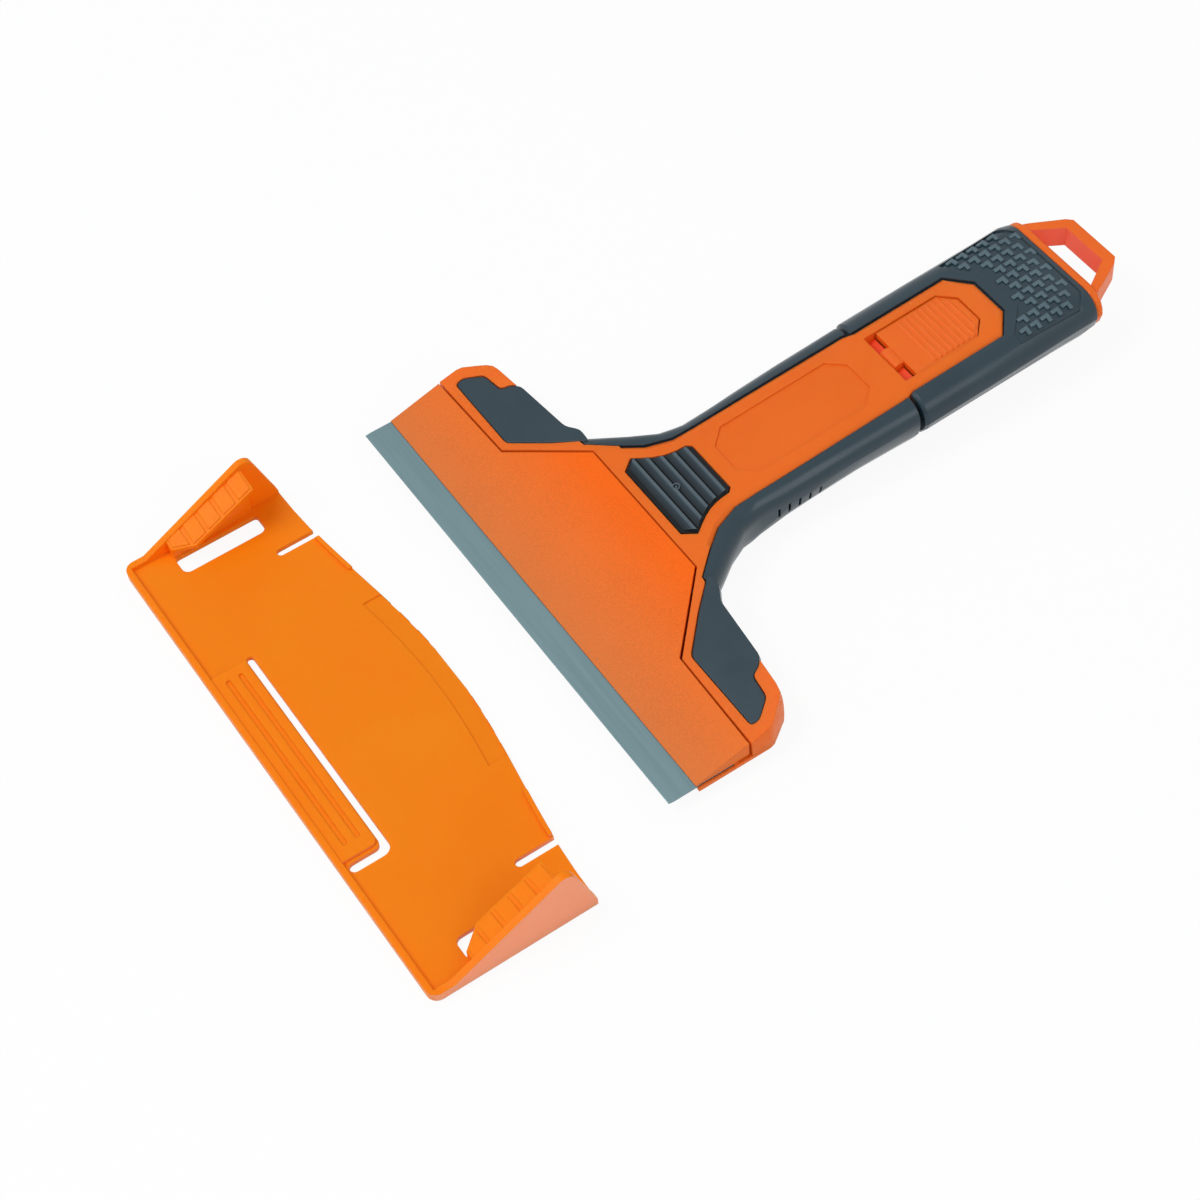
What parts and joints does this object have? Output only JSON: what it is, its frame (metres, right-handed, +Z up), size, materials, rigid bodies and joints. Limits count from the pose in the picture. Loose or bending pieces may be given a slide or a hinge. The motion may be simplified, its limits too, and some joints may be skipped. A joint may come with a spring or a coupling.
{
  "type": "window scraper",
  "caption": "Wide-blade window scraper with a clamping jaw, soft-grip handle, spare-blade drawer with a hanging loop, and a slide-on blade guard.",
  "frame": {"origin": "on the flat back of the handle, on its centre line, 120 mm behind the blade's edge", "axes": "+X along the blade's edge, +Y from the blade to the hanging loop, +Z up from the table the scraper lies on"},
  "size_m": [0.1624, 0.2753, 0.0224],
  "materials": {
    "orange_plastic": "satin",
    "jaw_plastic": "fine texture",
    "soft_grip": "matte",
    "steel": "satin",
    "blade_steel": "satin",
    "guard_plastic": "slightly see-through"
  },
  "bodies": {
    "body": {"back_shell": "orange_plastic", "top_shell": "orange_plastic", "front_grip_left": "soft_grip", "front_grip_right": "soft_grip", "rear_grip": "soft_grip", "shell_screws": "steel", "blade": "blade_steel", "clamp_pin": "steel", "clamp_spring": "steel", "latch_spring": "steel"},
    "clamp": {"clamp_plate": "jaw_plastic"},
    "button": {"thumb_pad": "soft_grip", "button_core": "orange_plastic"},
    "latch": {"latch_button": "orange_plastic"},
    "tray": {"blade_tray": "orange_plastic", "tail_cap": "orange_plastic", "tail_screws": "steel", "spare_blade_1": "blade_steel", "spare_blade_2": "blade_steel", "spare_blade_3": "blade_steel"},
    "guard": {"blade_guard": "guard_plastic"}
  },
  "joints": [
    {"name": "clamp_open", "type": "hinge", "parent": "body", "child": "clamp", "pos_m": [0, -0.08, 0.01], "axis": [-1, 0, 0], "range_deg": [0, 3.8], "stiffness_Nm_per_rad": 0.6, "springref_deg": -2.86},
    {"name": "button_press", "type": "slide", "parent": "body", "child": "button", "axis": [0, 0.0599, -0.9982], "range_m": [0, 0.0008]},
    {"name": "latch_press", "type": "hinge", "parent": "body", "child": "latch", "pos_m": [0, 0.007, 0.01718], "axis": [-1, 0, 0], "range_deg": [0, 5], "stiffness_Nm_per_rad": 0.15, "springref_deg": -2.86, "deforming": ["latch_spring"]},
    {"name": "tray_slide", "type": "slide", "parent": "body", "child": "tray", "axis": [0, 1, 0], "range_m": [0, 0.14]},
    {"name": "guard_slide", "type": "slide", "parent": "body", "child": "guard", "axis": [-0.0774, 0.997, 0], "range_m": [0, 0.06459]}
  ],
  "couplings": [
    {"joint": "button_press", "follows": "clamp_open", "m_per_rad": 0.01206}
  ]
}
